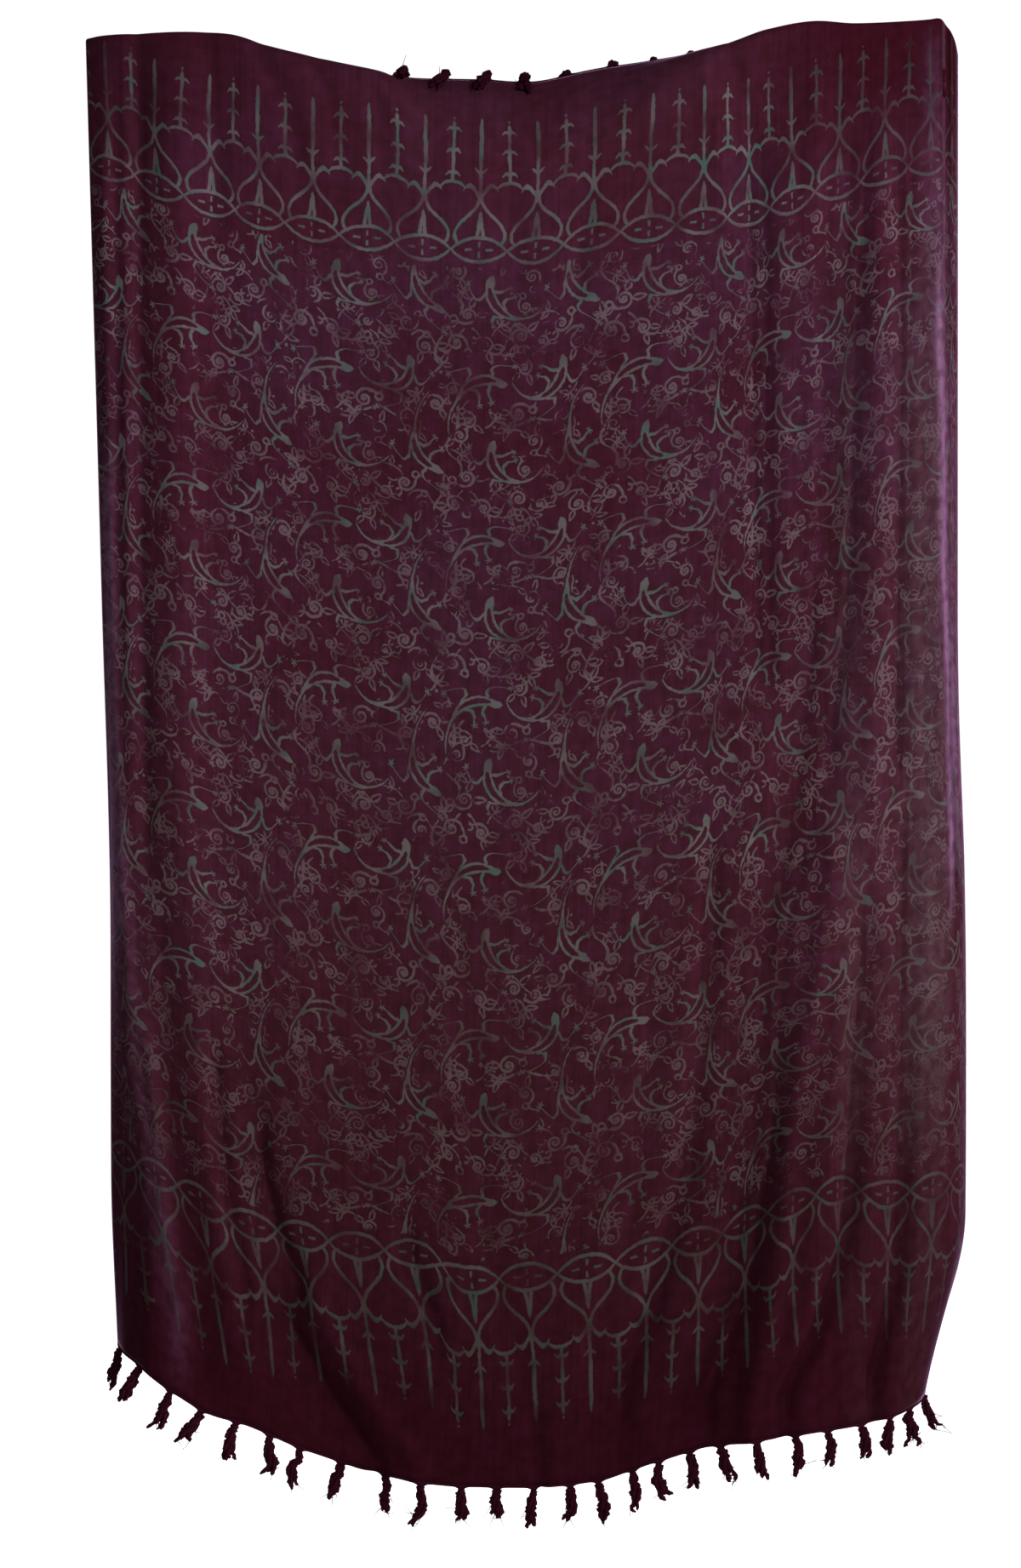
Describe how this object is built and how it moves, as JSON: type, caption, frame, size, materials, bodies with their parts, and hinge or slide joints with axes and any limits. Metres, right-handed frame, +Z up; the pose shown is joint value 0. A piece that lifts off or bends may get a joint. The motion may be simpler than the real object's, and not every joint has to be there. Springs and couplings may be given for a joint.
{
  "type": "batik sarong",
  "caption": "Fringed rayon batik sarong hung by its two top corners, with stamped borders and a gecko and vine field.",
  "frame": {"origin": "on the hold line, half way between the two held top corners; the sagging top edge passes 55 mm below it", "axes": "+Z is up the hanging cloth, the printed front faces -Y, and +X is to the right as one looks at the front"},
  "size_m": [1.0187, 0.1494, 1.7291],
  "materials": {
    "plum_rayon": "soft satin plain weave, plum ground with grey-green stamped lines",
    "plum_thread": "matt twisted yarn"
  },
  "bodies": {
    "root": {"cloth_panel": "plum_rayon", "top_fringe": "plum_thread", "bottom_fringe": "plum_thread"}
  },
  "joints": []
}
